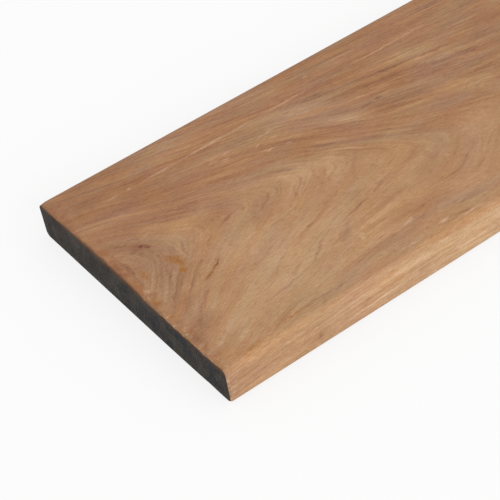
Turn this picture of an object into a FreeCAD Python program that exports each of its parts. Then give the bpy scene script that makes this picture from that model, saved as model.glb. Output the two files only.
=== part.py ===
"""Hardwood decking board: one sawn plank, planed on four sides with eased long edges.

Millimetres. +X runs along the board, +Y across its width and +Z up. The origin is
the middle of the underside, so the board lies flat on the XY plane.
"""

import FreeCAD
import Part
import Sketcher

import math
import os

# Driving dimensions: alias, value in millimetres, what it measures
DIMENSIONS = (
    ("board_length", 1830.0, "square cut to square cut, a six-foot board"),
    ("board_width", 145.0, "across the face, over the two long sides"),
    ("board_thickness", 19.0, "underside to face"),
    ("face_edge_radius", 3.0, "easing of the two long edges of the face"),
    ("underside_edge_radius", 2.5, "easing of the two long edges of the underside"),
)

QUARTER_TURN = math.pi / 2

# Places on a sketch element, as the sketcher numbers them
START = 1
END = 2

# The sketch's own origin point
ORIGIN_GEOMETRY = -1
ORIGIN_POINT = 1


def add_dimensions(doc):
    """Puts the driving dimensions in a spreadsheet, one named cell each."""
    sheet = doc.addObject("Spreadsheet::Sheet", "dimensions")
    for row, (alias, value, meaning) in enumerate(DIMENSIONS, start=1):
        sheet.set(f"A{row}", meaning)
        sheet.set(f"B{row}", str(value))
        sheet.setAlias(f"B{row}", alias)
    doc.recompute()
    return sheet


def origin_plane(body, role):
    """The plane of the body's own origin that has this role."""
    return next(plane for plane in body.Origin.OriginFeatures if plane.Role == role)


def line(start, end):
    """A straight stretch of the section, between two (across, up) points."""
    return Part.LineSegment(FreeCAD.Vector(*start, 0), FreeCAD.Vector(*end, 0))


def eased_corner(centre, radius, quarter):
    """A quarter circle that starts at the given quarter turn and runs anticlockwise."""
    circle = Part.Circle(FreeCAD.Vector(*centre, 0), FreeCAD.Vector(0, 0, 1), radius)
    return Part.ArcOfCircle(circle, quarter * QUARTER_TURN, (quarter + 1) * QUARTER_TURN)


def draw_section(body, sheet):
    """The board's moulded section: a flat rectangle with its four corners eased."""
    sketch = body.newObject("Sketcher::SketchObject", "moulded_section")
    sketch.AttachmentSupport = (origin_plane(body, "YZ_Plane"), "")
    sketch.MapMode = "FlatFace"

    half = sheet.board_width / 2
    top = sheet.board_thickness
    face_r = sheet.face_edge_radius
    under_r = sheet.underside_edge_radius

    # The outline anticlockwise from the underside, each side followed by the corner that ends it
    underside = sketch.addGeometry(line((under_r - half, 0), (half - under_r, 0)))
    under_right = sketch.addGeometry(eased_corner((half - under_r, under_r), under_r, 3))
    right_side = sketch.addGeometry(line((half, under_r), (half, top - face_r)))
    face_right = sketch.addGeometry(eased_corner((half - face_r, top - face_r), face_r, 0))
    face = sketch.addGeometry(line((half - face_r, top), (face_r - half, top)))
    face_left = sketch.addGeometry(eased_corner((face_r - half, top - face_r), face_r, 1))
    left_side = sketch.addGeometry(line((-half, top - face_r), (-half, under_r)))
    under_left = sketch.addGeometry(eased_corner((under_r - half, under_r), under_r, 2))
    outline = (underside, under_right, right_side, face_right, face, face_left, left_side, under_left)

    # Each stretch runs smoothly into the next, all the way round
    for here, following in zip(outline, outline[1:] + outline[:1]):
        sketch.addConstraint(Sketcher.Constraint("Tangent", here, END, following, START))
    for level in (underside, face):
        sketch.addConstraint(Sketcher.Constraint("Horizontal", level))
    for upright in (right_side, left_side):
        sketch.addConstraint(Sketcher.Constraint("Vertical", upright))

    # Both edges of the face are eased alike, and both edges of the underside
    sketch.addConstraint(Sketcher.Constraint("Equal", face_right, face_left))
    sketch.addConstraint(Sketcher.Constraint("Equal", under_right, under_left))

    # The middle of the underside is the origin
    centred = ("Symmetric", underside, START, underside, END, ORIGIN_GEOMETRY, ORIGIN_POINT)
    sketch.addConstraint(Sketcher.Constraint(*centred))

    # The sizes come from the spreadsheet
    sized = (
        ("board_width", ("DistanceX", left_side, END, right_side, START, 2 * half)),
        ("board_thickness", ("DistanceY", underside, START, face, END, top)),
        ("face_edge_radius", ("Radius", face_right, face_r)),
        ("underside_edge_radius", ("Radius", under_right, under_r)),
    )
    for alias, constraint in sized:
        index = sketch.addConstraint(Sketcher.Constraint(*constraint))
        sketch.renameConstraint(index, alias)
        sketch.setExpression(f"Constraints.{alias}", f"{sheet.Name}.{alias}")
    return sketch


def make_board(doc, sheet):
    """The plank: its section run along the full length, square at both ends."""
    body = doc.addObject("PartDesign::Body", "decking_board")
    body.Label = "decking_board"
    body.Placement = FreeCAD.Placement()

    run = body.newObject("PartDesign::Pad", "planed_length")
    run.Profile = draw_section(body, sheet)
    run.SideType = "Symmetric"
    run.setExpression("Length", f"{sheet.Name}.board_length")
    body.Tip = run
    return body


def check_built(doc, boards):
    """Stops before anything is written if an object failed or a shape is not sound."""
    for thing in doc.Objects:
        if "Invalid" in thing.State or "Error" in thing.State:
            raise RuntimeError(f"{thing.Label} did not build: {thing.State}")
    for board in boards:
        if board.Shape.isNull() or not board.Shape.isValid():
            raise RuntimeError(f"{board.Label} has no valid shape")


def main():
    doc = FreeCAD.newDocument("decking")
    sheet = add_dimensions(doc)
    board = make_board(doc, sheet)
    doc.recompute()
    check_built(doc, [board])

    os.makedirs("parts", exist_ok=True)
    board.Shape.exportStep(os.path.join("parts", f"{board.Label}.step"))


main()
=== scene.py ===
"""Hardwood decking board: one planed plank with sealed ends, and the stage it is shown on.

Metres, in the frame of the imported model: +X along the board, +Y across it, +Z up.
The figure of the wood is drawn in millimetres, from the near end of the face:
along the board, across it from its middle, and up from the face.
"""

import math
from collections import namedtuple

import bmesh
import bpy
from mathutils import Matrix, Vector, noise


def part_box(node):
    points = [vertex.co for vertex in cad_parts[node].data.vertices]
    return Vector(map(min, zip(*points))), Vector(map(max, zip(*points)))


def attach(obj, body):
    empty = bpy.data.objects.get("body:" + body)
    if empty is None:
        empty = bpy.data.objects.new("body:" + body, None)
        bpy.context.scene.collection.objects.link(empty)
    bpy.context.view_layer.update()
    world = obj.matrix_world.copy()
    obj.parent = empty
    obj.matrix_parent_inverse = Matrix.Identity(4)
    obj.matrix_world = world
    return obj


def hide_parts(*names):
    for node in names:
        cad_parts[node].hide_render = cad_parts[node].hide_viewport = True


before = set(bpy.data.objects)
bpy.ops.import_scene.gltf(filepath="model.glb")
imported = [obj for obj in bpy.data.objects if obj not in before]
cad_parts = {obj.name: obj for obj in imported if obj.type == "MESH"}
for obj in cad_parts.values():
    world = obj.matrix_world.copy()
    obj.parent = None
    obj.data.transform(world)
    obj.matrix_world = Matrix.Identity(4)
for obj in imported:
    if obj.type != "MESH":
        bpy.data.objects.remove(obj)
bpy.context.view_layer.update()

bl_info = {
    "name": "Decking Board",
    "version": (1, 0, 0),
    "blender": (4, 5, 0),
    "location": "3D View > Sidebar > Decking",
    "description": "A hardwood decking board with a drawn wood figure, and a plain stage",
    "category": "Add Mesh",
}

MM = 0.001
BOARD_NODE = "decking_board"
BOARD_LOW, BOARD_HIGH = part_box(BOARD_NODE)

# Rings of points near each sawn end, in millimetres from it
END_STEPS = (0.0, 0.25, 0.6, 1.1, 1.8, 2.8, 4.5)

# How far the wear of an end's upper edge reaches along the face and down the end
WEAR_REACH = 4.0 * MM

# How far the wear of an end's lower edge reaches along the underside
LOWER_REACH = 1.5 * MM

# Points that round off one corner of the section
CORNER_SEGMENTS = 7

# A stretch between two rings of points is cut up where it is longer than this
LONG_RUN = 20.0 * MM

# How much finer the mesh is cut round a hollow, and how far past its rim, in millimetres
HOLLOW_CUTS = 3
HOLLOW_MARGIN = 1.5

# A point lies on the face where it is no further than this below its level
FACE_TOLERANCE = 0.01 * MM

# A face belongs to a sawn end where its normal lies this squarely along the board
END_SQUARENESS = 0.99

# How far below the face a mark still shows, in millimetres
MARK_DEPTH = 9.0

# Slight shifts of the wood's colour from place to place
COOL_TINGE = (1.0, 0.99, 1.03)
WARM_TINGE = (1.0, 1.0, 0.95)

# How much larger a stroke is drawn than it is stated, because its rim fades out
STROKE_FADE = 1.3

WHITE = (1.0, 1.0, 1.0, 1.0)

# The floor: half its side in metres, its gap below the board, and its share of plain white
FLOOR_REACH = 60.0
FLOOR_GAP = 0.1 * MM
FLOOR_GLOW = 0.8

# The soft lamp in front of the board, in metres: its place, the point it faces and its sides
LAMP_PLACE = Vector((-0.2, -3.2, 1.5))
LAMP_AIM = Vector((-0.4, 0.0, 0.0))
LAMP_WIDTH = 3.0
LAMP_HEIGHT = 1.6

# The photograph's camera, in millimetres: its place, and the point of the face it looks at
CAMERA_PLACE = Vector((-1108.84, -464.16, 450.86)) * MM
CAMERA_AIM = Vector((-866.23, -22.53, 19.0)) * MM

# The nearest and the farthest that the camera sees, in metres
CLIP_START = 0.01
CLIP_END = 200.0

# A soft-edged mark on the face, in millimetres and degrees
Mark = namedtuple("Mark", "along across length width turn strength bow")


def patch(along, across, length, width, turn, strength):
    """An oval mark about a point of the face, turned anticlockwise."""
    return Mark(along, across, length, width, turn, strength, 0.0)


def stroke(start, end, width, strength, bow=0.0):
    """A narrow mark from one point of the face to another, its middle bowed out to the left."""
    run = Vector(end) - Vector(start)
    middle = (Vector(start) + Vector(end)) / 2
    turn = math.degrees(math.atan2(run.y, run.x))
    return Mark(middle.x, middle.y, run.length * STROKE_FADE, width * STROKE_FADE, turn, strength, bow)


# Broad lighter and darker patches of the wood, and a painted highlight along the near arris
TONE_PATCHES = (
    patch(99.0, 4.0, 44.0, 24.0, -28.0, 0.13),
    patch(108.0, -5.0, 36.0, 15.0, 48.0, 0.12),
    patch(12.0, 0.0, 52.0, 70.0, 0.0, -0.18),
    patch(16.0, 28.0, 76.0, 20.0, -9.0, -0.19),
    patch(57.0, 9.0, 24.0, 14.0, -30.0, -0.12),
    patch(70.0, -4.0, 32.0, 14.0, 20.0, -0.08),
    patch(33.0, 9.0, 22.0, 16.0, 30.0, 0.08),
    patch(55.0, -42.0, 110.0, 44.0, 18.0, 0.15),
    patch(118.0, -52.0, 50.0, 14.0, 0.0, -0.12),
    patch(100.0, 27.0, 60.0, 14.0, -18.0, -0.05),
    patch(66.0, 27.0, 70.0, 18.0, -18.0, 0.05),
    patch(30.0, 42.0, 90.0, 26.0, -8.0, -0.08),
    patch(22.0, 40.0, 62.0, 7.0, -10.0, -0.09),
    patch(15.0, 55.0, 34.0, 16.0, 0.0, -0.10),
    patch(28.0, 66.0, 90.0, 16.0, 0.0, -0.08),
    patch(8.0, 19.0, 30.0, 16.0, -18.0, -0.10),
    patch(42.0, 22.0, 48.0, 26.0, -24.0, -0.12),
    patch(51.0, 6.0, 30.0, 18.0, 0.0, -0.12),
    patch(80.0, 38.0, 70.0, 20.0, -12.0, 0.08),
    patch(138.0, 17.0, 28.0, 18.0, -25.0, 0.13),
    patch(138.0, -6.0, 26.0, 22.0, 0.0, 0.09),
    patch(47.0, -18.0, 44.0, 22.0, 15.0, 0.13),
    patch(97.0, -43.0, 42.0, 20.0, 5.0, 0.15),
    patch(97.0, -55.0, 40.0, 16.0, 0.0, 0.08),
    patch(20.0, -54.0, 36.0, 16.0, 8.0, 0.08),
    patch(130.0, 22.0, 52.0, 10.0, -29.0, 0.16),
    patch(168.0, 41.0, 60.0, 6.0, -10.0, 0.12),
    patch(205.0, 22.0, 60.0, 10.0, -14.0, 0.12),
    patch(8.0, -45.0, 26.0, 26.0, 40.0, -0.16),
    patch(10.0, -30.0, 24.0, 18.0, 55.0, -0.15),
    patch(118.0, 38.0, 84.0, 28.0, -16.0, 0.19),
    patch(108.0, 29.0, 64.0, 16.0, -22.0, 0.15),
    patch(88.0, -24.0, 48.0, 8.0, 24.0, 0.08),
    patch(125.0, 6.0, 34.0, 10.0, -36.0, 0.07),
    # Painted highlight: a faint paler strip along the rounded near arris
    patch(70.0, -66.0, 140.0, 10.0, 0.0, 0.04),
    patch(80.0, 62.0, 180.0, 24.0, 0.0, 0.10),
    patch(190.0, -4.0, 50.0, 20.0, -35.0, 0.12),
    patch(166.0, 0.0, 60.0, 26.0, -22.0, 0.10),
    patch(190.0, 36.0, 70.0, 30.0, -14.0, 0.10),
)

# Greyer wood, and redder wood where the strength is negative
GREY_PATCHES = (
    patch(15.0, -4.0, 40.0, 60.0, 0.0, 1.2),
    patch(96.0, 9.0, 36.0, 14.0, -30.0, 0.8),
    patch(9.0, -20.0, 26.0, 20.0, 60.0, 0.8),
    patch(9.0, -40.0, 24.0, 22.0, 50.0, 0.7),
    patch(85.0, -42.0, 26.0, 10.0, 50.0, 0.9),
    patch(128.0, 26.0, 54.0, 12.0, -29.0, 0.7),
    patch(132.0, 44.0, 46.0, 8.0, -14.0, 0.7),
    patch(15.0, -61.0, 44.0, 12.0, 10.0, 0.5),
    patch(50.0, 20.0, 70.0, 14.0, -20.0, -0.7),
    patch(68.0, 28.0, 70.0, 16.0, -16.0, -0.6),
    patch(108.0, 16.0, 60.0, 12.0, -19.0, -0.7),
    patch(115.0, -50.0, 70.0, 26.0, 0.0, -0.7),
    patch(24.0, 32.0, 46.0, 12.0, -22.0, -0.5),
    patch(26.0, 44.0, 90.0, 44.0, -6.0, -0.5),
    patch(9.0, 20.0, 30.0, 16.0, -18.0, 0.9),
    patch(125.0, -30.0, 60.0, 26.0, 0.0, -0.5),
    patch(116.0, -54.0, 13.0, 15.0, 0.0, -0.9),
    patch(2.0, 10.0, 8.0, 120.0, 0.0, -0.9),
    patch(190.0, 31.0, 60.0, 8.0, -9.0, -0.6),
)

# Dark lines and streaks that lie along the grain
DARK_STREAKS = (
    stroke((8.0, -26.0), (19.0, 8.0), 1.6, 0.35, -2.5),
    stroke((2.0, -12.0), (3.0, 19.0), 2.2, 0.7, -2.3),
    stroke((5.0, -31.0), (14.0, -15.0), 1.4, 0.45),
    stroke((13.0, -29.0), (27.0, -14.5), 1.3, 0.35),
    stroke((28.5, -11.0), (33.0, 5.0), 1.3, 0.6, 1.7),
    stroke((34.0, -13.0), (46.0, 2.0), 1.4, 0.5),
    stroke((46.0, -2.5), (62.0, 3.2), 1.6, 0.75, 0.9),
    stroke((5.0, 24.0), (13.0, 18.0), 1.6, 0.6),
    stroke((20.2, -0.5), (22.4, -9.0), 1.1, 0.6),
    stroke((14.0, 22.0), (20.5, 16.5), 1.6, 0.7),
    stroke((26.0, 24.0), (46.0, 13.5), 3.0, 0.5),
    stroke((38.0, 24.0), (49.0, 18.0), 2.2, 0.5),
    stroke((60.0, 28.0), (86.0, 17.5), 3.4, 0.35),
    stroke((84.0, 21.5), (113.0, 12.0), 3.2, 0.2),
    stroke((94.0, 13.5), (123.0, 2.5), 1.6, 0.25, 1.7),
    stroke((84.0, 14.0), (97.0, 5.5), 2.6, 0.55),
    stroke((98.0, 9.0), (107.5, 2.5), 1.6, 0.45, 0.8),
    stroke((93.0, -13.0), (107.5, 1.0), 1.7, 0.45, -0.8),
    stroke((82.0, -12.0), (87.5, 1.0), 1.5, 0.45, -0.6),
    stroke((59.0, -17.5), (82.0, -12.5), 1.5, 0.45, -1.0),
    stroke((85.0, -23.0), (103.0, -17.6), 1.4, 0.5),
    stroke((107.0, -16.0), (121.0, -2.0), 2.2, 0.45, -1.2),
    stroke((62.0, -32.0), (84.0, -27.6), 1.3, 0.6, 0.9),
    stroke((44.0, -44.0), (64.0, -31.0), 1.4, 0.5),
    stroke((89.0, -36.0), (107.0, -31.5), 1.7, 1.1, 0.4),
    stroke((105.0, -32.0), (123.0, -25.0), 1.6, 0.7),
    stroke((79.0, -49.0), (90.5, -35.5), 4.2, 0.4),
    stroke((32.0, -53.0), (63.0, -48.0), 1.5, 0.8, -0.6),
    stroke((61.0, -48.8), (75.0, -37.5), 1.5, 0.8, -1.0),
    stroke((4.0, -51.0), (20.0, -27.0), 2.4, 0.45),
    stroke((113.0, 48.5), (150.0, 38.5), 4.2, 0.8, -0.5),
    stroke((140.0, 41.0), (205.0, 28.5), 3.2, 0.6),
    stroke((178.0, 33.4), (206.0, 28.2), 2.4, 1.1),
    stroke((150.5, 21.0), (155.5, 20.5), 3.4, 0.9),
    stroke((142.0, 19.5), (152.0, 20.5), 2.2, 0.6),
    stroke((158.0, 27.5), (174.0, 23.0), 1.6, 0.8),
    stroke((75.0, 43.0), (92.0, 39.0), 1.8, 0.2),
    stroke((66.0, 38.0), (88.0, 33.0), 3.2, 0.4),
    stroke((92.0, 33.5), (107.0, 28.0), 5.0, 0.2),
    stroke((90.0, -47.5), (118.0, -47.5), 3.2, 0.3),
    stroke((96.0, -52.0), (126.0, -53.0), 2.6, 0.3),
    stroke((104.0, -57.0), (122.0, -56.0), 2.4, 0.4),
    stroke((56.0, -60.5), (98.0, -58.0), 1.8, 0.3),
    stroke((30.0, -66.0), (72.0, -66.5), 2.0, 0.5),
)

# One straight pale line that the planer left beside the far edge
PLANED_LINE = (
    stroke((22.0, 50.0), (32.0, 50.0), 1.5, 0.6),
    stroke((33.0, 49.8), (35.4, 49.8), 2.0, 0.9),
    stroke((42.0, 50.0), (62.0, 49.8), 2.0, 1.0),
    stroke((60.0, 50.0), (92.0, 50.0), 2.0, 1.1),
    stroke((84.0, 50.0), (108.0, 50.0), 1.5, 0.7),
    stroke((106.0, 50.0), (138.0, 50.0), 1.8, 0.9),
    stroke((150.0, 50.0), (214.0, 50.2), 1.5, 0.7),
)

# Pale flecks where the pores lie open, and in the chip of the arris
PALE_FLECKS = (
    stroke((91.0, 31.6), (95.0, 33.8), 1.6, 1.0),
    stroke((90.5, 28.6), (99.0, 25.2), 1.7, 1.1),
    stroke((95.0, 37.0), (107.0, 37.4), 1.6, 0.9),
    stroke((100.0, 33.0), (104.0, 31.5), 1.3, 0.8),
    stroke((69.0, 38.6), (75.0, 36.4), 1.6, 0.7),
    stroke((74.0, 35.4), (80.0, 35.0), 2.0, 0.8),
    stroke((77.0, 38.4), (82.5, 39.0), 1.6, 0.7),
    stroke((102.0, 24.4), (107.0, 23.0), 1.4, 0.7),
    stroke((138.0, 59.0), (142.5, 58.8), 1.9, 0.9),
    stroke((25.5, 11.0), (28.0, -12.0), 1.2, 0.4, 0.6),
    stroke((21.0, 18.5), (25.0, 17.0), 2.4, 0.35),
    stroke((0.6, -13.2), (4.4, -13.2), 2.6, 2.4),
    stroke((50.0, -17.0), (58.0, -14.0), 3.0, 0.25),
    stroke((81.0, 11.0), (94.0, 2.5), 2.6, 0.45),
    stroke((92.0, 4.0), (97.0, -1.0), 3.2, 0.3),
    stroke((107.5, 5.0), (113.0, 1.0), 4.0, 0.5),
    stroke((143.0, 28.5), (153.0, 26.0), 1.6, 0.7),
    stroke((180.0, 27.0), (200.0, 21.5), 3.0, 0.5),
    stroke((2.0, -60.0), (12.0, -57.5), 2.4, 0.5),
    stroke((14.0, -63.0), (23.0, -60.0), 3.8, 0.6),
    stroke((115.0, -66.4), (121.0, -65.4), 2.2, 1.2),
    stroke((104.0, -57.0), (110.0, -55.6), 2.0, 1.4),
    stroke((85.5, -51.5), (89.0, -47.6), 2.2, 1.3),
    stroke((128.0, -61.5), (137.0, -60.5), 1.6, 0.5),
    stroke((92.0, -68.0), (106.0, -67.5), 1.6, 0.6),
    stroke((120.0, -69.4), (138.0, -69.2), 1.6, 1.2),
    stroke((136.0, -4.0), (142.0, -3.0), 1.8, 0.4),
)

# The small knot by the near end, the short crack, dark crumbs in the gum, and redder spots by the arris
RED_KNOTS = (
    patch(16.8, 13.4, 5.4, 4.4, 60.0, 1.1),
    patch(18.4, 11.6, 5.0, 4.2, -50.0, 1.1),
    patch(17.5, 12.5, 6.0, 4.0, -55.0, 0.8),
    patch(14.6, 12.6, 13.0, 10.0, 20.0, 0.62),
    patch(14.4, 8.6, 7.0, 5.0, 40.0, 0.5),
    patch(18.2, 7.4, 9.0, 5.0, 70.0, 0.35),
    stroke((20.4, 1.0), (22.8, -5.0), 1.1, 0.35),
    stroke((22.6, -3.0), (24.2, -10.4), 1.1, 0.4),
    stroke((23.6, -24.8), (32.0, -20.8), 1.0, 0.6),
    stroke((29.5, -21.8), (37.4, -16.2), 1.0, 0.8),
    stroke((34.0, -19.2), (35.6, -15.4), 0.9, 0.35),
    patch(25.2, -24.2, 2.6, 2.0, 20.0, 0.6),
    patch(33.9, -19.0, 3.0, 2.4, 50.0, 0.7),
    patch(3.2, -50.0, 7.0, 13.0, 0.0, 0.5),
    patch(1.6, 8.0, 4.4, 22.0, 0.0, 0.4),
)

# Yellow gum beside the knot, round the crack, and by the near end and edge
GUM_SPOTS = (
    stroke((20.8, 0.8), (21.6, -7.0), 4.6, 1.2),
    stroke((22.6, -1.0), (24.2, -9.6), 5.6, 1.5),
    patch(21.6, -12.0, 6.4, 5.8, 10.0, 1.9),
    patch(26.0, -12.4, 7.0, 4.6, 10.0, 0.7),
    patch(23.0, -9.0, 5.0, 7.0, 0.0, 1.1),
    stroke((9.0, 0.5), (6.8, -8.0), 5.0, 0.7),
    patch(2.6, -21.0, 7.0, 13.0, 0.0, 0.8),
    patch(2.2, -7.0, 6.0, 14.0, 0.0, 0.7),
    patch(2.6, 21.0, 6.0, 8.0, 0.0, 0.5),
    patch(3.0, -34.0, 7.0, 10.0, 20.0, 0.5),
    patch(3.4, -61.0, 8.0, 13.0, 0.0, 0.3),
    stroke((21.0, -25.8), (33.0, -20.4), 2.8, 0.6),
    stroke((28.0, -22.4), (38.4, -15.6), 2.8, 0.6),
    patch(15.0, -70.0, 24.0, 4.4, 10.0, 0.6),
    patch(38.0, -66.5, 24.0, 3.2, 6.0, 0.6),
)

# Hollows of the knot, the crack and the chip in the arris, as deep in millimetres as they are strong
HOLLOWS = (
    patch(16.9, 13.4, 4.2, 3.2, 60.0, 0.25),
    patch(18.5, 11.2, 4.2, 3.2, -50.0, 0.30),
    stroke((24.0, -24.6), (31.0, -21.2), 1.6, 0.30),
    stroke((29.5, -21.8), (37.0, -16.6), 1.6, 0.35),
    patch(2.2, -13.2, 4.0, 2.4, 0.0, 0.35),
)

# Dark streaks and pale flecks of the near side, measured along the board and up from the face
SIDE_STREAKS = (
    patch(45.6, -12.7, 5.0, 3.4, 30.0, 1.3),
    patch(42.0, -13.2, 9.0, 2.4, 15.0, 0.5),
    stroke((18.0, -8.2), (34.0, -7.2), 1.0, 0.7),
    stroke((36.0, -7.4), (58.0, -5.6), 0.9, 0.6),
    stroke((60.0, -9.6), (88.0, -8.2), 1.0, 0.6),
    stroke((100.0, -8.6), (126.0, -8.0), 1.0, 0.6),
    stroke((8.0, -11.2), (30.0, -10.2), 1.0, 0.5),
)
SIDE_FLECKS = (
    stroke((52.0, -14.2), (96.0, -11.8), 1.5, 1.3),
    stroke((70.0, -6.8), (110.0, -5.2), 1.3, 1.0),
    stroke((114.0, -12.2), (142.0, -12.6), 1.8, 1.6),
    stroke((84.0, -6.2), (93.0, -5.4), 1.6, 1.2),
    stroke((20.0, -6.4), (46.0, -4.4), 1.2, 0.8),
    stroke((86.0, -1.8), (93.0, -1.6), 2.2, 1.8),
    stroke((104.0, -3.4), (118.0, -3.0), 1.4, 1.1),
)

# Scratches in the coat on the near end, measured across the board and up from the face
SEAL_SCRATCHES = (
    patch(4.5, -11.0, 6.0, 2.4, 66.0, 0.7),
    patch(2.0, -10.0, 5.0, 0.8, 48.0, 0.6),
    patch(-28.0, -9.0, 6.0, 0.8, 30.0, 0.4),
    patch(41.0, -7.0, 5.0, 0.8, 60.0, 0.3),
)


class BoardSettings(bpy.types.PropertyGroup):
    """Sizes of the plank's edges and of its mesh."""

    face_edge_radius: bpy.props.FloatProperty(
        name="Face Edge Radius",
        description="Easing of the two long edges of the face",
        default=3.0 * MM,
        min=0.0,
        unit="LENGTH",
    )
    underside_edge_radius: bpy.props.FloatProperty(
        name="Underside Edge Radius",
        description="Easing of the two long edges of the underside",
        default=2.5 * MM,
        min=0.0,
        unit="LENGTH",
    )
    arris_wear: bpy.props.FloatProperty(
        name="Arris Wear",
        description="How far the face's edge is worn down at the sawn ends",
        default=1.5 * MM,
        min=0.0,
        unit="LENGTH",
    )
    lower_wear: bpy.props.FloatProperty(
        name="Lower Wear",
        description="How far the underside's edge is worn at the front corners",
        default=0.9 * MM,
        min=0.0,
        unit="LENGTH",
    )
    face_spacing: bpy.props.FloatProperty(
        name="Face Spacing",
        description="Distance between the mesh's lines across the face",
        default=1.5 * MM,
        min=0.5 * MM,
        unit="LENGTH",
    )
    underside_spacing: bpy.props.FloatProperty(
        name="Underside Spacing",
        description="Distance between the mesh's lines across the underside",
        default=6.0 * MM,
        min=0.5 * MM,
        unit="LENGTH",
    )
    knotted_length: bpy.props.FloatProperty(
        name="Knotted Length",
        description="Stretch at the near end that gets the finer mesh",
        default=45.0 * MM,
        min=10.0 * MM,
        unit="LENGTH",
    )
    knotted_spacing: bpy.props.FloatProperty(
        name="Knotted Spacing",
        description="Distance between the mesh's lines along the knotted stretch",
        default=1.0 * MM,
        min=0.5 * MM,
        unit="LENGTH",
    )
    plain_spacing: bpy.props.FloatProperty(
        name="Plain Spacing",
        description="Distance between the mesh's lines along the rest of the board",
        default=15.0 * MM,
        min=0.5 * MM,
        unit="LENGTH",
    )


class WoodSettings(bpy.types.PropertyGroup):
    """Colours of the wood, of its marks and of the coat on its ends."""

    tan: bpy.props.FloatVectorProperty(
        name="Tan",
        description="Wood of the arched middle of the face",
        default=(0.455, 0.252, 0.132),
        subtype="COLOR",
    )
    red_brown: bpy.props.FloatVectorProperty(
        name="Red Brown",
        description="Straight-grained wood of the far side",
        default=(0.342, 0.162, 0.085),
        subtype="COLOR",
    )
    pale_grain: bpy.props.FloatVectorProperty(
        name="Pale Grain",
        description="Lightest growth rings",
        default=(0.660, 0.445, 0.270),
        subtype="COLOR",
    )
    dark_grain: bpy.props.FloatVectorProperty(
        name="Dark Grain",
        description="Darkest growth rings and streaks",
        default=(0.165, 0.068, 0.035),
        subtype="COLOR",
    )
    open_pore: bpy.props.FloatVectorProperty(
        name="Open Pore",
        description="Chalky wood where the pores lie open, and crumbs along the worn end",
        default=(0.620, 0.400, 0.280),
        subtype="COLOR",
    )
    grey_tinge: bpy.props.FloatVectorProperty(
        name="Grey Tinge",
        description="Tints the greyer wood",
        default=(0.940, 0.985, 1.0),
        subtype="COLOR",
    )
    red_tinge: bpy.props.FloatVectorProperty(
        name="Red Tinge",
        description="Tints the redder wood",
        default=(1.0, 0.940, 0.840),
        subtype="COLOR",
    )
    knot_red: bpy.props.FloatVectorProperty(
        name="Knot Red",
        description="Hearts of the small knots",
        default=(0.170, 0.048, 0.022),
        subtype="COLOR",
    )
    gum: bpy.props.FloatVectorProperty(
        name="Gum",
        description="Yellow gum beside the knots",
        default=(0.360, 0.143, 0.031),
        subtype="COLOR",
    )
    end_stain: bpy.props.FloatVectorProperty(
        name="End Stain",
        description="Reddish wood beside the sawn end",
        default=(0.330, 0.140, 0.065),
        subtype="COLOR",
    )
    seal: bpy.props.FloatVectorProperty(
        name="End Seal",
        description="Dark wax coat on the sawn ends",
        default=(0.0246, 0.0194, 0.0150),
        subtype="COLOR",
    )
    seal_speckle: bpy.props.FloatVectorProperty(
        name="Seal Speckle",
        description="Paler specks in the coat, where the end grain shows",
        default=(0.060, 0.047, 0.036),
        subtype="COLOR",
    )
    seal_blue: bpy.props.FloatVectorProperty(
        name="Seal Blue",
        description="Thicker coat, slightly blue",
        default=(0.0150, 0.0202, 0.0292),
        subtype="COLOR",
    )
    bare_end: bpy.props.FloatVectorProperty(
        name="Bare End",
        description="Brown wood that shows through the thin edge of the coat",
        default=(0.102, 0.047, 0.020),
        subtype="COLOR",
    )
    seal_scratch: bpy.props.FloatVectorProperty(
        name="Seal Scratch",
        description="Scratches in the coat",
        default=(0.130, 0.120, 0.110),
        subtype="COLOR",
    )


class StageSettings(bpy.types.PropertyGroup):
    """Floor, light and camera."""

    floor_colour: bpy.props.FloatVectorProperty(
        name="Floor",
        description="Colour of the floor",
        default=(0.90, 0.90, 0.90),
        subtype="COLOR",
    )
    sky_strength: bpy.props.FloatProperty(
        name="Soft Light",
        description="Strength of the even light from all round",
        default=0.80,
        min=0.0,
    )
    key_power: bpy.props.FloatProperty(
        name="Key Light",
        description="Power of the large soft lamp in front of the board",
        default=60.0,
        min=0.0,
        subtype="POWER",
    )
    lens: bpy.props.FloatProperty(
        name="Lens",
        description="Focal length on a sensor 36 mm wide",
        default=114.75,
        min=1.0,
        unit="CAMERA",
    )
    roll: bpy.props.FloatProperty(
        name="Camera Roll",
        description="How far the camera is turned about its own line of sight",
        default=math.radians(11.07),
        subtype="ANGLE",
    )


class Term:
    """A number that varies over a surface; its arithmetic adds Math nodes."""

    def __init__(self, wiring, socket):
        self.wiring = wiring
        self.socket = socket

    def __add__(self, other):
        return self.wiring.math("ADD", self, other)

    def __sub__(self, other):
        return self.wiring.math("SUBTRACT", self, other)

    def __rsub__(self, other):
        return self.wiring.math("SUBTRACT", other, self)

    def __mul__(self, other):
        return self.wiring.math("MULTIPLY", self, other)

    def __truediv__(self, other):
        return self.wiring.math("DIVIDE", self, other)

    def __pow__(self, power):
        return self.wiring.math("POWER", self, power)

    __radd__ = __add__
    __rmul__ = __mul__


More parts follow.
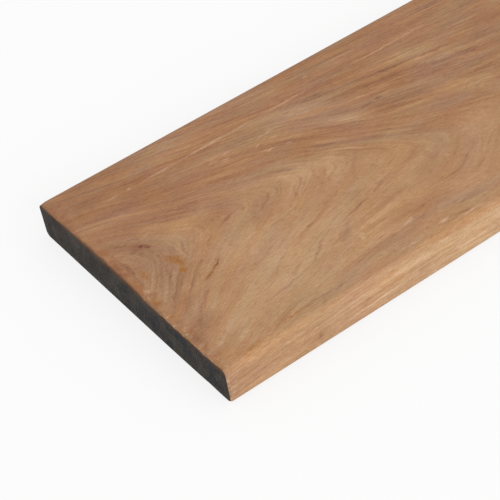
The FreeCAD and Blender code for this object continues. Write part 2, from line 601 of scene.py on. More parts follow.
class Wiring:
    """Adds nodes to one node tree; an input takes a socket, a term or a plain value."""

    def __init__(self, tree):
        self.tree = tree

    def feed(self, socket, value):
        if isinstance(value, Term):
            value = value.socket
        if isinstance(value, bpy.types.NodeSocket):
            self.tree.links.new(value, socket)
        else:
            socket.default_value = value

    def node(self, kind, inputs=None, **settings):
        node = self.tree.nodes.new(kind)
        for name, value in settings.items():
            setattr(node, name, value)
        for key, value in (inputs or {}).items():
            self.feed(node.inputs[key], value)
        return node

    def math(self, operation, *values):
        node = self.node("ShaderNodeMath", dict(enumerate(values)), operation=operation)
        return Term(self, node.outputs[0])

    def ease(self, value, start, end, low=0.0, high=1.0):
        """Eases from low to high as the value goes from start to end."""
        ends = {"Value": value, "From Min": start, "From Max": end, "To Min": low, "To Max": high}
        node = self.node("ShaderNodeMapRange", ends, interpolation_type="SMOOTHSTEP")
        return Term(self, node.outputs["Result"])

    def hump(self, value, middle, spread):
        """A bell curve: 1 at the middle, falling away over the spread."""
        return self.math("EXPONENT", ((value - middle) / spread) ** 2.0 * -1.0)

    def vector(self, x, y, z):
        return self.node("ShaderNodeCombineXYZ", {"X": x, "Y": y, "Z": z}).outputs["Vector"]

    def split(self, vector):
        parts = self.node("ShaderNodeSeparateXYZ", {"Vector": vector}).outputs
        return [Term(self, part) for part in parts]

    def noise(self, vector, scale=1.0, detail=2.0, roughness=0.5, output="Fac"):
        inputs = {"Vector": vector, "Scale": scale, "Detail": detail, "Roughness": roughness}
        socket = self.node("ShaderNodeTexNoise", inputs).outputs[output]
        return Term(self, socket) if output == "Fac" else socket

    def mix(self, factor, first, second, blend="MIX"):
        node = self.node("ShaderNodeMix", data_type="RGBA", blend_type=blend)
        for index, value in ((0, factor), (6, first), (7, second)):
            self.feed(node.inputs[index], value)
        return node.outputs[2]

    def ramp(self, value, stops):
        """Colours in order along a value, each at its own place from 0 to 1."""
        node = self.node("ShaderNodeValToRGB", {"Fac": value})
        elements = node.color_ramp.elements
        for position, _ in stops[1:-1]:
            elements.new(position)
        for element, (position, colour) in zip(elements, stops):
            element.position = position
            element.color = opaque(colour)
        return node.outputs["Color"]


def opaque(colour):
    """The colour with its alpha, as a shader socket takes it."""
    return (*colour, 1.0)


def new_material(name):
    """An empty node material, with its wiring and its shader."""
    material = bpy.data.materials.new(name)
    material.use_nodes = True
    wiring = Wiring(material.node_tree)
    shader = material.node_tree.nodes["Principled BSDF"]
    return material, wiring, shader


def new_group(name, inputs, outputs):
    """A node group with named sockets: (name, socket type, default)."""
    tree = bpy.data.node_groups.new(name, "ShaderNodeTree")
    for label, kind, default in inputs:
        socket = tree.interface.new_socket(label, in_out="INPUT", socket_type=kind)
        socket.default_value = default
    for label, kind in outputs:
        tree.interface.new_socket(label, in_out="OUTPUT", socket_type=kind)
    wiring = Wiring(tree)
    given = tree.nodes.new("NodeGroupInput").outputs
    result = tree.nodes.new("NodeGroupOutput").inputs
    return tree, wiring, given, result


def mark_group():
    """A soft oval mark, turned and bowed to lie along the grain, laid over the marks before it."""
    tree, w, given, result = new_group(
        "surface_mark",
        (
            ("Place", "NodeSocketVector", (0.0, 0.0, 0.0)),
            ("Middle", "NodeSocketVector", (0.0, 0.0, 0.0)),
            ("Turn", "NodeSocketFloat", 0.0),
            ("Half Size", "NodeSocketVector", (1.0, 1.0, 1.0)),
            ("Bow", "NodeSocketFloat", 0.0),
            ("Strength", "NodeSocketFloat", 1.0),
            ("Covered", "NodeSocketFloat", 0.0),
        ),
        (("Strongest", "NodeSocketFloat"), ("Sum", "NodeSocketFloat")),
    )
    away = w.node("ShaderNodeVectorMath", {0: given["Place"], 1: given["Middle"]}, operation="SUBTRACT")
    turned = w.node(
        "ShaderNodeVectorRotate",
        {"Vector": away.outputs[0], "Angle": given["Turn"]},
        rotation_type="Z_AXIS",
    )
    scaled = w.node("ShaderNodeVectorMath", {0: turned.outputs[0], 1: given["Half Size"]}, operation="DIVIDE")
    measured = {0: scaled.outputs[0], 1: (1.0, 0.0, 0.0)}
    lengthwise = Term(w, w.node("ShaderNodeVectorMath", measured, operation="DOT_PRODUCT").outputs["Value"])
    bowed = w.vector(0.0, (1.0 - lengthwise * lengthwise) * given["Bow"], 0.0)
    straight = w.node("ShaderNodeVectorMath", {0: scaled.outputs[0], 1: bowed}, operation="SUBTRACT")
    reach = w.node("ShaderNodeVectorMath", {0: straight.outputs[0]}, operation="LENGTH")
    mask = w.ease(reach.outputs["Value"], 1.0, 0.0) * given["Strength"]
    w.feed(result["Strongest"], w.math("MAXIMUM", given["Covered"], mask))
    w.feed(result["Sum"], w.math("ADD", given["Covered"], mask))
    return tree


def grit_group():
    """Fine specks and slow blotches, as planed wood and a brushed coat both have."""
    tree, w, given, result = new_group(
        "fine_grit",
        (
            ("Place", "NodeSocketVector", (0.0, 0.0, 0.0)),
            ("Speck Size", "NodeSocketFloat", 1.0),
            ("Blotch Size", "NodeSocketFloat", 20.0),
        ),
        (("Specks", "NodeSocketFloat"), ("Blotches", "NodeSocketFloat")),
    )
    specks = w.noise(given["Place"], w.math("DIVIDE", 1.0, given["Speck Size"]), 2.0, 0.65)
    blotches = w.noise(given["Place"], w.math("DIVIDE", 1.0, given["Blotch Size"]), 2.0)
    w.feed(result["Specks"], specks)
    w.feed(result["Blotches"], blotches)
    return tree


def gritty(w, tree, place, speck_size, blotch_size):
    """Specks and blotches of these sizes, in millimetres."""
    node = w.node("ShaderNodeGroup", node_tree=tree)
    for name, value in (("Place", place), ("Speck Size", speck_size), ("Blotch Size", blotch_size)):
        w.feed(node.inputs[name], value)
    return [Term(w, node.outputs[name]) for name in ("Specks", "Blotches")]


def place_in_millimetres(w):
    """Where a point of the board is, in millimetres from the near end of the face."""
    coordinates = w.node("ShaderNodeTexCoord").outputs["Object"]
    near_end = Vector((BOARD_LOW.x, 0.0, BOARD_HIGH.z)) / MM
    inputs = {"Vector": coordinates, "Location": -near_end, "Scale": (1 / MM,) * 3}
    return w.node("ShaderNodeMapping", inputs).outputs["Vector"]


def marked(w, marks, tree, place, output="Strongest"):
    """How strongly these marks cover a point: the strongest one, or the sum of all."""
    covered = 0.0
    for mark in marks:
        node = w.node("ShaderNodeGroup", node_tree=tree)
        w.feed(node.inputs["Place"], place)
        w.feed(node.inputs["Middle"], (mark.along, mark.across, 0.0))
        w.feed(node.inputs["Turn"], math.radians(-mark.turn))
        w.feed(node.inputs["Half Size"], (mark.length / 2, mark.width / 2, MARK_DEPTH))
        w.feed(node.inputs["Bow"], mark.bow / (mark.width / 2))
        w.feed(node.inputs["Strength"], mark.strength)
        w.feed(node.inputs["Covered"], covered)
        covered = Term(w, node.outputs[output])
    return covered


def growth_rings(w, along, across, up):
    """Height of the growth rings: points with one value lie on one ring.

    The rings arch about a heart line, round at the knots by the near end, pointed further on,
    and draw out straight towards both long edges and along the rest of the board. On the near
    side they run in shallow waves.
    """
    # Places along the board where the figure changes
    crowding_ends = 44.0
    knots_end = 55.0
    heart_settles = 87.0
    dip_starts = 87.5
    waves_fade = 170.0
    waves_end = 260.0
    straight_run = 230.0

    # The heart line: how far across it starts and settles, and how far it then dips
    heart_start = 9.7
    heart_settled = 4.5
    dip_depth = 25.7

    # Roundness of the arches on each side of the heart line, and what the knots add to it
    far_round = 9.0
    far_knot_round = 28.0
    near_round = 12.0
    near_knot_round = 30.0

    # Waves of the near side
    wave_start = 4.4
    wave_length = 53.0
    wave_height = 2.8

    # Height that the rings gain over the crowded near end, and with each millimetre below the face
    crowding = 29.6
    rise_with_depth = 14.0

    knotted = w.ease(along, 0.0, knots_end, 1.0, 0.0)
    dip_ends = w.ease(across, -3.0, 28.0, 156.0, 140.0)
    dip = w.ease(along, dip_starts, dip_ends, 0.0, dip_depth) * w.ease(across, 72.0, -34.0)
    heart = w.ease(along, 0.0, heart_settles, heart_start, heart_settled) - dip
    from_heart = across - heart

    far = w.math("SMOOTH_MAX", from_heart, 0.0, far_round + knotted * far_knot_round)
    near = w.math("SMOOTH_MAX", from_heart * -1.0, 0.0, near_round + knotted * near_knot_round)
    far_rise = far * (w.ease(along, 53.0, 113.0, 2.8, 3.3) + far * (0.0236 + far * 0.00049))
    near_rise = near * (1.15 + near * (0.006 + near * 0.0001))
    wavy = w.ease(from_heart, -5.0, -35.0, 0.0, wave_height) * w.ease(along, waves_fade, waves_end, 1.0, 0.0)
    waves = w.math("SINE", (along - wave_start) * (math.tau / wave_length)) * wavy

    crowded = w.ease(along, 0.0, crowding_ends, 0.0, crowding)
    run = along + crowded - w.math("SMOOTH_MAX", along - straight_run, 0.0, 120.0) * 0.72
    rings = run + far_rise + near_rise + waves - up * rise_with_depth
    widened = w.math("SMOOTH_MAX", rings - 190.0, 0.0, 120.0) * 0.45
    return rings - widened, from_heart


class WoodFigure:
    """How the wood runs at each point of the board: what its colours are drawn from."""

    def __init__(self, w, grit):
        self.w = w
        self.place = place_in_millimetres(w)
        self.along, self.across, self.up = w.split(self.place)
        self.wander()
        self.rings, self.from_heart = growth_rings(w, self.wander_along, self.wander_across, self.up)
        self.part_sides()
        self.draw_grain()
        self.specks, self.blotches = gritty(w, grit, self.place, 0.7, 16.0)

    def grain_space(self, length, width, shift=0.0):
        """Space whose unit is this long along the board and this wide across it, in millimetres."""
        sides = [self.along / length, self.across / width, self.up / width]
        if shift:
            sides[2] = sides[2] + shift
        return self.w.vector(*sides)

    def ring_space(self, thickness, length, breadth, shift=0.0):
        """Space whose unit is this thick through the rings, and this long and broad, in millimetres."""
        sides = [self.rings / thickness, self.along / length, self.across / breadth]
        if shift:
            sides[2] = sides[2] + shift
        return self.w.vector(*sides)

    def wander(self):
        """The place, a little unsteady, so that rings and marks wander as wood does."""
        w = self.w
        slow = w.noise(self.grain_space(70.0, 26.0), detail=2.0, output="Color")
        quick = w.noise(self.grain_space(8.0, 2.6), detail=2.0, output="Color")
        slow_x, self.slow_y, _ = w.split(slow)
        quick_x, quick_y, _ = w.split(quick)
        self.wander_along = self.along + (slow_x - 0.5) * 9.0 + (quick_x - 0.5) * 1.2
        self.wander_across = self.across + (self.slow_y - 0.5) * 4.0 + (quick_y - 0.5) * 0.6
        self.shaken_x, self.shaken_y, _ = w.split(w.noise(self.place, 0.22, 3.0, output="Color"))
        shaken_along = self.along + (self.shaken_x - 0.5) * 3.2
        shaken_across = self.across + (self.shaken_y - 0.5) * 3.2
        self.wavering = w.vector(shaken_along, shaken_across, self.up)

    def part_sides(self):
        """Straight-grained far side, arched middle and near side, and how plainly each is lined."""
        w = self.w
        self.far_side = w.ease(self.rings, 90.0, 195.0) * w.ease(self.from_heart, -8.0, 14.0)
        self.near_side = w.ease(self.up, -1.0, -5.0) * w.ease(self.across, 0.0, -60.0)
        self.cloud = w.noise(self.grain_space(22.0, 9.0), detail=3.0)
        self.patchy = w.noise(self.grain_space(34.0, 12.0, 7.0), detail=2.0)
        self.by_knot = w.hump(self.along, 12.0, 26.0) * w.hump(self.across, -2.0, 26.0)
        figured = self.far_side * w.ease(self.along, 5.0, 90.0, 0.7, 1.0)
        lined = w.ease(self.from_heart, -14.0, -36.0, 0.36, 0.22) + figured * 0.60
        lined = lined + self.by_knot * 0.28 + self.near_side * 0.34
        lined = lined + w.ease(self.across, -52.0, -63.0, 0.0, 0.16)
        self.lined = lined * w.ease(self.patchy, 0.3, 0.65, 0.6, 1.25)

    def draw_grain(self):
        """Broad bands of rings, the lines in them, thin dark hairlines, fine fibre and pores."""
        w = self.w
        self.broad = w.noise(w.vector(self.rings / 24.0, self.along / 200.0, 0.0), detail=2.0)
        self.lines = w.noise(self.ring_space(7.5, 42.0, 42.0), detail=3.0, roughness=0.6)
        self.hair = w.noise(self.ring_space(2.2, 16.0, 16.0), detail=2.0, roughness=0.6)
        drawn = w.noise(self.ring_space(9.0, 110.0, 110.0, 3.0), detail=0.0)
        thin = w.ease(w.math("ABSOLUTE", drawn - 0.5), 0.0, 0.06, 1.0, 0.0)
        self.hairlines = thin * w.ease(self.patchy, 0.42, 0.62)
        self.fibre = w.noise(self.grain_space(3.4, 0.8), detail=2.0, roughness=0.7)
        self.pores = w.ease(w.noise(self.ring_space(2.8, 3.6, 3.6), detail=1.0), 0.62, 0.76)
        self.open_pores = w.ease(w.noise(self.grain_space(5.0, 0.7, 5.0), detail=1.0), 0.66, 0.8)


def streaks_and_flecks(w, wood, mark):
    """How strongly the dark streaks and the pale flecks cover a point of the face or the near side."""
    streaks = marked(w, DARK_STREAKS, mark, wood.wavering)
    flecks = marked(w, PALE_FLECKS, mark, wood.wavering) + marked(w, PLANED_LINE, mark, wood.place)
    side_place = w.vector(wood.along, wood.up + (wood.shaken_y - 0.5) * 1.2, 0.0)
    streaks = streaks + marked(w, SIDE_STREAKS, mark, side_place) * wood.near_side
    flecks = flecks + marked(w, SIDE_FLECKS, mark, side_place) * wood.near_side
    return streaks, flecks


def wood_tone(w, wood, streaks, flecks, mark):
    """Tone of the wood, from 0, its darkest, to 1, its palest, with painted light along the near side."""
    tone = 0.63 - wood.far_side * 0.18 + marked(w, TONE_PATCHES, mark, wood.place, "Sum")
    # Painted light: the near side grows paler along the board, a gradient of light painted into its tone
    tone = tone + wood.near_side * w.ease(wood.along, 10.0, 130.0, -0.03, 0.11)
    banded = w.ease(wood.from_heart, -10.0, -40.0, 0.36, 0.16) - wood.far_side * 0.15 + wood.near_side * 0.2
    tone = tone + (wood.broad - 0.5) * banded
    tone = tone + (wood.lines - 0.5) * wood.lined * 0.62 + (wood.hair - 0.5) * (wood.lined + 0.2) * 0.42
    tone = tone - wood.hairlines * (0.13 - wood.far_side * 0.10)
    tone = tone + (wood.fibre - 0.5) * 0.44 + (wood.cloud - 0.5) * 0.20 + (wood.specks - 0.5) * 0.32
    tone = tone - wood.pores * 0.10 + wood.open_pores * w.ease(wood.cloud, 0.45, 0.65, 0.0, 0.16)
    tone = tone - streaks * w.ease(wood.fibre, 0.7, 0.3, 0.19, 0.32)
    return tone + flecks * w.ease(wood.fibre, 0.3, 0.65, 0.06, 0.20)


def tinged(w, wood, colour, streaks, settings, mark):
    """The colour with greyer, redder, yellower and cooler wood from place to place."""
    banding = w.noise(wood.ring_space(16.0, 60.0, 30.0, 9.0), detail=2.0)
    broadly = w.noise(wood.grain_space(30.0, 12.0, 13.0), detail=1.0, output="Color")
    broad_grey, broad_yellow, _ = w.split(broadly)
    sided = w.math("MAXIMUM", wood.far_side, w.ease(wood.across, -48.0, -62.0, 0.0, 0.7))
    greyness = (banding - 0.5) * (1.85 + wood.by_knot * 0.9) + (broad_grey - 0.5) * sided * 2.0
    greyness = greyness + marked(w, GREY_PATCHES, mark, wood.place, "Sum") * 0.5
    # The near side is greyer: partly its own paler grain, partly a painted sheen
    greyness = greyness + streaks * 0.45 + wood.near_side * 0.35 + 0.5
    tinge = w.mix(w.ease(greyness, 0.0, 1.0), opaque(settings.red_tinge), opaque(settings.grey_tinge))
    colour = w.mix(1.0, colour, tinge, "MULTIPLY")
    yellowed = w.noise(wood.ring_space(10.0, 26.0, 20.0, 4.0), detail=2.0)
    yellowness = (yellowed - 0.5) * (1.0 - sided) * 0.8 + (broad_yellow - 0.5) * sided * 1.6
    warmth = w.mix(w.ease(yellowness, -0.14, 0.14), opaque(COOL_TINGE), opaque(WARM_TINGE))
    return w.mix(1.0, colour, warmth, "MULTIPLY")


def spotted(w, wood, colour, settings, mark):
    """The colour with the stained, crumbled wood beside the near sawn end, the gum and the knots."""
    knots = marked(w, RED_KNOTS, mark, wood.wavering)
    gum = marked(w, GUM_SPOTS, mark, wood.wavering)

    soaked = wood.along + (wood.shaken_x - 0.5) * 16.0 + (wood.slow_y - 0.5) * 10.0
    uneven = w.ease(wood.shaken_y, 0.38, 0.6, 0.2, 1.1) * w.ease(wood.specks, 0.35, 0.6, 0.6, 1.2)
    stain = w.ease(soaked, 0.0, 7.5, 1.0, 0.0) * uneven * w.ease(wood.up, -1.2, -0.2, 0.3, 1.0)
    stain = stain * w.ease(wood.across, -70.0, -52.0, 0.35, 1.0)
    colour = w.mix(stain, colour, opaque(settings.end_stain))

    # The end's coat, lapped a little over the arris
    lapped = w.ease(wood.along + (wood.shaken_y - 0.5) * 3.0, 0.0, 1.3, 0.8, 0.0)
    lapped = lapped * w.ease(wood.across, -40.0, 5.0, 0.3, 1.0) * w.ease(wood.across, 62.0, 26.0, 0.4, 1.0)
    colour = w.mix(lapped, colour, opaque(settings.bare_end))

    crumbs = w.noise(wood.wavering, 0.7, 3.0, 0.75)
    crumbled = w.ease(wood.wander_along, 4.5, 0.8) * w.ease(wood.wander_across, 2.0, -13.0, 0.15, 1.0)
    pale_crumbs = crumbled * w.ease(crumbs, 0.55, 0.68, 0.0, 0.7)
    colour = w.mix(pale_crumbs, colour, opaque(settings.open_pore))
    dark_crumbs = crumbled * w.ease(crumbs, 0.44, 0.34, 0.0, 0.5)
    colour = w.mix(dark_crumbs, colour, opaque(settings.end_stain))

    dried = gum * w.ease(crumbs, 0.36, 0.62, 0.1, 1.3)
    colour = w.mix(dried, colour, opaque(settings.gum))
    hearts = knots * w.ease(wood.fibre, 0.3, 0.6, 1.0, 0.6)
    return w.mix(hearts, colour, opaque(settings.knot_red))


def hardwood(settings, mark, grit):
    """Planed red-brown hardwood, with its rings, streaks, open pores and small knots."""
    material, w, shader = new_material("hardwood")
    wood = WoodFigure(w, grit)
    streaks, flecks = streaks_and_flecks(w, wood, mark)
    tone = wood_tone(w, wood, streaks, flecks, mark)
    stops = (
        (0.0, settings.dark_grain),
        (0.36, settings.red_brown),
        (0.62, settings.tan),
        (1.0, settings.pale_grain),
    )
    colour = w.ramp(tone, stops)
    colour = tinged(w, wood, colour, streaks, settings, mark)
    chalky = flecks * w.ease(wood.fibre, 0.3, 0.65, 0.15, 0.5)
    colour = w.mix(chalky, colour, opaque(settings.open_pore))
    colour = spotted(w, wood, colour, settings, mark)

    w.feed(shader.inputs["Base Color"], colour)
    w.feed(shader.inputs["Roughness"], w.ease(wood.blotches, 0.3, 0.7, 0.64, 0.54))
    height = wood.hair * 0.4 + wood.fibre * 0.6 - wood.pores * 0.6
    bump = w.node("ShaderNodeBump", {"Strength": 0.35, "Distance": 0.12 * MM, "Height": height})
    w.feed(shader.inputs["Normal"], bump.outputs["Normal"])
    shader.inputs["Specular IOR Level"].default_value = 0.2
    return material


def end_seal(settings, mark, grit):
    """Dark wax brushed over the sawn end grain."""
    material, w, shader = new_material("end_seal")
    place = place_in_millimetres(w)
    _, across, up = w.split(place)
    specks, blotches = gritty(w, grit, place, 0.9, 8.0)
    brushed = w.noise(w.vector(across / 1.2, up / 4.0, 0.0), detail=2.0)
    scratches = marked(w, SEAL_SCRATCHES, mark, w.vector(across, up, 0.0))

    thick = w.ease(blotches, 0.48, 0.60) * w.ease(across, 12.0, -10.0, 0.2, 1.0)
    colour = w.mix(thick, opaque(settings.seal), opaque(settings.seal_blue))
    colour = w.mix(w.ease(specks + brushed * 0.5, 0.70, 0.92), colour, opaque(settings.seal_speckle))
    thin = w.ease(up + (brushed - 0.5) * 2.4 + w.ease(across, 6.0, -12.0, 0.0, 0.9), -3.7, -0.3, 0.0, 0.9)
    colour = w.mix(thin, colour, opaque(settings.bare_end))
    chafed = w.ease(w.noise(w.vector(across / 0.7, up / 1.5, 3.0), detail=1.0), 0.58, 0.74)
    colour = w.mix(chafed * w.ease(up, -7.0, -15.0, 0.1, 0.4), colour, opaque(settings.seal_scratch))
    colour = w.mix(scratches * w.ease(specks, 0.35, 0.6), colour, opaque(settings.seal_scratch))
    w.feed(shader.inputs["Base Color"], colour)
    w.feed(shader.inputs["Roughness"], w.ease(blotches, 0.3, 0.7, 0.60, 0.78))
    height = specks + brushed * 0.6
    bump = w.node("ShaderNodeBump", {"Strength": 0.5, "Distance": 0.25 * MM, "Height": height})
    w.feed(shader.inputs["Normal"], bump.outputs["Normal"])
    shader.inputs["Specular IOR Level"].default_value = 0.12
    return material


def eased(value, start, end, low=0.0, high=1.0):
    """Eases from low to high as a plain number goes from start to end."""
    share = min(1.0, max(0.0, (value - start) / (end - start)))
    return low + (high - low) * share * share * (3.0 - 2.0 * share)


def shown(mark, along, across):
    """How strongly a mark shows at a point of the face: the same shape as its shader draws."""
    away = Vector((along - mark.along, across - mark.across))
    lengthwise, sideways = Matrix.Rotation(math.radians(-mark.turn), 2) @ away
    lengthwise /= mark.length / 2
    sideways -= mark.bow * (1.0 - lengthwise * lengthwise)
    return mark.strength * eased(math.hypot(lengthwise, sideways / (mark.width / 2)), 1.0, 0.0)


def lengthwise_stations(settings):
    """Distances from the near end at which the section is set down, before the long runs are cut."""
    length = BOARD_HIGH.x - BOARD_LOW.x
    near_end = [step * MM for step in END_STEPS]
    far_end = [length - step for step in reversed(near_end)]
    return near_end + [settings.knotted_length] + far_end


def draw_section(bm, settings):
    """One flat face at the near end: the plank's section, with its corners eased."""
    size = BOARD_HIGH - BOARD_LOW
    middle = (BOARD_LOW + BOARD_HIGH) / 2
    upright = Matrix.Rotation(math.radians(-90.0), 4, "Y")
    stretched = Matrix.Diagonal((1.0, size.y, size.z, 1.0))
    placed = Matrix.Translation((BOARD_LOW.x, middle.y, middle.z))
    bmesh.ops.create_grid(bm, x_segments=1, y_segments=1, size=0.5, matrix=placed @ stretched @ upright)

    face_corners = [corner for corner in bm.verts if corner.co.z > middle.z]
    underside_corners = [corner for corner in bm.verts if corner.co.z < middle.z]
    rounding = {"affect": "VERTICES", "segments": CORNER_SEGMENTS, "profile": 0.5, "material": -1}
    bmesh.ops.bevel(bm, geom=face_corners, offset=settings.face_edge_radius, **rounding)
    bmesh.ops.bevel(bm, geom=underside_corners, offset=settings.underside_edge_radius, **rounding)

    flats = [edge for edge in bm.edges if edge.calc_length() > 3 * settings.face_edge_radius]
    for flat in flats:
        under = max(point.co.z for point in flat.verts) < middle.z
        spacing = settings.underside_spacing if under else settings.face_spacing
        bmesh.ops.bisect_edges(bm, edges=[flat], cuts=round(flat.calc_length() / spacing))
    return next(iter(bm.faces))


def run_section(bm, leading, settings):
    """The section run along the whole length, with more rings of points in the knotted stretch."""
    stations = lengthwise_stations(settings)
    for here, following in zip(stations, stations[1:]):
        grown = bmesh.ops.extrude_face_region(bm, geom=[leading])["geom"]
        leading = next(item for item in grown if isinstance(item, bmesh.types.BMFace))
        points = [item for item in grown if isinstance(item, bmesh.types.BMVert)]
        bmesh.ops.translate(bm, verts=points, vec=(following - here, 0.0, 0.0))
    for knotted in (True, False):
        spacing = settings.knotted_spacing if knotted else settings.plain_spacing
        runs = [
            edge
            for edge in bm.edges
            if abs(edge.verts[0].co.x - edge.verts[1].co.x) > LONG_RUN
            and (edge.calc_length() < settings.knotted_length) == knotted
        ]
        cuts = round(runs[0].calc_length() / spacing)
        bmesh.ops.subdivide_edges(bm, edges=runs, cuts=cuts)


def face_place(point):
    """Where a point is along and across the face, in millimetres."""
    return (point.x - BOARD_LOW.x) / MM, point.y / MM


def sink_hollows(bm):
    """Cuts the mesh finer round the hollows, and sinks them into the face."""
    face_level = BOARD_HIGH.z - FACE_TOLERANCE
    wider = 2 * HOLLOW_MARGIN
    grown = [mark._replace(length=mark.length + wider, width=mark.width + wider) for mark in HOLLOWS]
    near = set()
    for point in bm.verts:
        if point.co.z > face_level and any(shown(mark, *face_place(point.co)) > 0.0 for mark in grown):
            near.add(point)
    edges = [edge for edge in bm.edges if edge.verts[0] in near and edge.verts[1] in near]
    bmesh.ops.subdivide_edges(bm, edges=edges, cuts=HOLLOW_CUTS, use_grid_fill=True)
    for point in bm.verts:
        if point.co.z > face_level:
            point.co.z -= max(shown(mark, *face_place(point.co)) for mark in HOLLOWS) * MM


def unevenness(across, end):
    """How unevenly an edge is worn across the board: slow waves, small ripples and chips."""
    wave = noise.noise(Vector((across / 11.0, end, 0.0)))
    ripple = noise.noise(Vector((across / 3.5, end, 5.0)))
    chip = max(0.0, noise.noise(Vector((across / 5.0, end, 9.0))) - 0.2)
    return max(0.1, 0.95 + 0.35 * wave + 0.35 * ripple + 1.0 * chip)


def wear_ends(bm, settings):
    """Wears the edges down at both sawn ends, with small chips, most along the front half."""
    for point in bm.verts:
        inset = min(point.co.x - BOARD_LOW.x, BOARD_HIGH.x - point.co.x)
        drop = BOARD_HIGH.z - point.co.z
        rise = point.co.z - BOARD_LOW.z
        if inset > WEAR_REACH or min(drop, rise) > WEAR_REACH:
            continue
        across = point.co.y / MM
        uneven = unevenness(across, end=1.0 if point.co.x > 0.0 else 0.0)
        fade = 1.0 - min(drop, rise) / WEAR_REACH
        if drop < rise:
            fade *= (1.0 - inset / WEAR_REACH) ** 2
            worn = eased(across, -9.0, -17.0, 0.12, 1.0) + eased(across, 46.0, 56.0, 0.0, 0.40)
            worn *= eased(across, -72.0, -64.0, 0.3, 1.0)
            point.co.z -= settings.arris_wear * worn * uneven * fade
        else:
            fade *= max(0.0, 1.0 - inset / LOWER_REACH) ** 2
            point.co.z += settings.lower_wear * eased(across, -20.0, -72.0) * uneven * fade


class MESH_OT_add_decking_plank(bpy.types.Operator):
    """Add the plank: its section run along its length, with worn ends and drawn wood"""

    bl_idname = "mesh.add_decking_plank"
    bl_label = "Decking Plank"

    def execute(self, context):
        settings = context.scene.decking_board
        bm = bmesh.new()
        section = draw_section(bm, settings)
        run_section(bm, section, settings)
        sink_hollows(bm)
        wear_ends(bm, settings)
        bmesh.ops.recalc_face_normals(bm, faces=bm.faces)
        for face in bm.faces:
            face.smooth = len(face.verts) == 4
            face.material_index = int(abs(face.normal.x) > END_SQUARENESS)

        mesh = bpy.data.meshes.new("hardwood_plank")
        bm.to_mesh(mesh)
        bm.free()
        groups = (mark_group(), grit_group())
        mesh.materials.append(hardwood(context.scene.decking_wood, *groups))
        mesh.materials.append(end_seal(context.scene.decking_wood, *groups))
        plank = bpy.data.objects.new("hardwood_plank", mesh)
        context.collection.objects.link(plank)
        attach(plank, "root")
        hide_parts(BOARD_NODE)
        return {"FINISHED"}


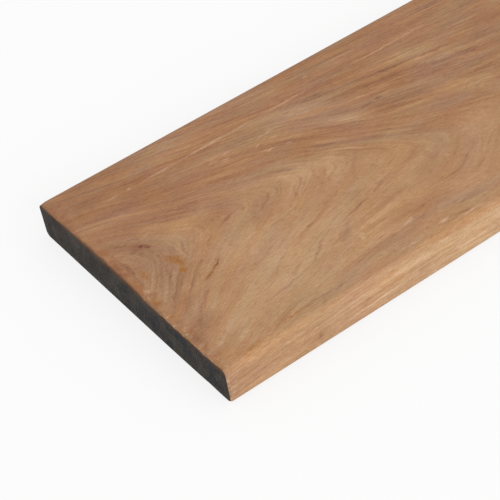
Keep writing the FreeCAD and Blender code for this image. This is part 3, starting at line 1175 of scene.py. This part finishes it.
class SCENE_OT_add_decking_stage(bpy.types.Operator):
    """Add the stage: a plain pale floor, soft studio light and the camera"""

    bl_idname = "scene.add_decking_stage"
    bl_label = "Decking Stage"

    def execute(self, context):
        settings = context.scene.decking_stage
        self.add_floor(context, settings)
        self.add_light(context, settings)
        self.add_camera(context, settings)
        context.scene.view_settings.view_transform = "Standard"
        return {"FINISHED"}

    def add_floor(self, context, settings):
        bm = bmesh.new()
        bmesh.ops.create_grid(bm, x_segments=1, y_segments=1, size=FLOOR_REACH)
        bmesh.ops.translate(bm, verts=bm.verts, vec=(0.0, 0.0, BOARD_LOW.z - FLOOR_GAP))
        mesh = bpy.data.meshes.new("floor")
        bm.to_mesh(mesh)
        bm.free()
        floor = bpy.data.objects.new("floor", mesh)
        context.collection.objects.link(floor)
        material, w, shader = new_material("pale_floor")
        shader.inputs["Base Color"].default_value = opaque(settings.floor_colour)
        shader.inputs["Roughness"].default_value = 0.9
        shader.inputs["Specular IOR Level"].default_value = 0.0
        rays = w.node("ShaderNodeLightPath")
        white = w.node("ShaderNodeEmission", {"Color": WHITE, "Strength": 1.0})
        seen = w.math("MAXIMUM", rays.outputs["Is Camera Ray"], rays.outputs["Is Glossy Ray"])
        mixed = {0: seen * FLOOR_GLOW, 1: shader.outputs[0], 2: white.outputs[0]}
        blend = w.node("ShaderNodeMixShader", mixed)
        output = material.node_tree.nodes["Material Output"]
        w.feed(output.inputs["Surface"], blend.outputs[0])
        mesh.materials.append(material)

    def add_light(self, context, settings):
        world = bpy.data.worlds.new("studio")
        world.use_nodes = True
        context.scene.world = world
        w = Wiring(world.node_tree)
        even = world.node_tree.nodes["Background"]
        even.inputs["Color"].default_value = WHITE
        even.inputs["Strength"].default_value = settings.sky_strength
        white = w.node("ShaderNodeBackground", {"Color": WHITE, "Strength": 1.0})
        rays = w.node("ShaderNodeLightPath")
        mixed = {0: rays.outputs["Is Camera Ray"], 1: even.outputs[0], 2: white.outputs[0]}
        blend = w.node("ShaderNodeMixShader", mixed)
        w.feed(world.node_tree.nodes["World Output"].inputs["Surface"], blend.outputs[0])

        lamp = bpy.data.lights.new("key_lamp", "AREA")
        lamp.shape = "RECTANGLE"
        lamp.size = LAMP_WIDTH
        lamp.size_y = LAMP_HEIGHT
        lamp.energy = settings.key_power
        key = bpy.data.objects.new("key_lamp", lamp)
        context.collection.objects.link(key)
        key.location = LAMP_PLACE
        key.rotation_mode = "QUATERNION"
        key.rotation_quaternion = (LAMP_AIM - LAMP_PLACE).to_track_quat("-Z", "Y")
        key.visible_camera = False

    def add_camera(self, context, settings):
        forward = (CAMERA_AIM - CAMERA_PLACE).normalized()
        level_right = forward.cross(Vector((0.0, 0.0, 1.0))).normalized()
        level_down = forward.cross(level_right)
        right = level_right * math.cos(settings.roll) + level_down * math.sin(settings.roll)
        up = right.cross(forward)
        turn = Matrix((right, up, -forward)).transposed()
        data = bpy.data.cameras.new("camera")
        data.lens = settings.lens
        data.clip_start = CLIP_START
        data.clip_end = CLIP_END
        camera = bpy.data.objects.new("camera", data)
        camera.matrix_world = Matrix.Translation(CAMERA_PLACE) @ turn.to_4x4()
        context.collection.objects.link(camera)
        context.scene.camera = camera


class VIEW3D_PT_decking_board(bpy.types.Panel):
    """Lists the plank, the stage and their settings"""

    bl_idname = "VIEW3D_PT_decking_board"
    bl_label = "Decking Board"
    bl_space_type = "VIEW_3D"
    bl_region_type = "UI"
    bl_category = "Decking"

    def draw(self, context):
        layout = self.layout
        scene = context.scene
        groups = (
            (MESH_OT_add_decking_plank, (scene.decking_board, scene.decking_wood)),
            (SCENE_OT_add_decking_stage, (scene.decking_stage,)),
        )
        for operator, settings in groups:
            layout.operator(operator.bl_idname)
            for group in settings:
                for name in group.__annotations__:
                    layout.prop(group, name)


CLASSES = (
    BoardSettings,
    WoodSettings,
    StageSettings,
    MESH_OT_add_decking_plank,
    SCENE_OT_add_decking_stage,
    VIEW3D_PT_decking_board,
)


def register():
    for cls in CLASSES:
        bpy.utils.register_class(cls)
    bpy.types.Scene.decking_board = bpy.props.PointerProperty(type=BoardSettings)
    bpy.types.Scene.decking_wood = bpy.props.PointerProperty(type=WoodSettings)
    bpy.types.Scene.decking_stage = bpy.props.PointerProperty(type=StageSettings)


def unregister():
    del bpy.types.Scene.decking_stage
    del bpy.types.Scene.decking_wood
    del bpy.types.Scene.decking_board
    for cls in reversed(CLASSES):
        bpy.utils.unregister_class(cls)


def main():
    register()
    bpy.ops.mesh.add_decking_plank()
    bpy.ops.scene.add_decking_stage()


if __name__ == "__main__":
    main()
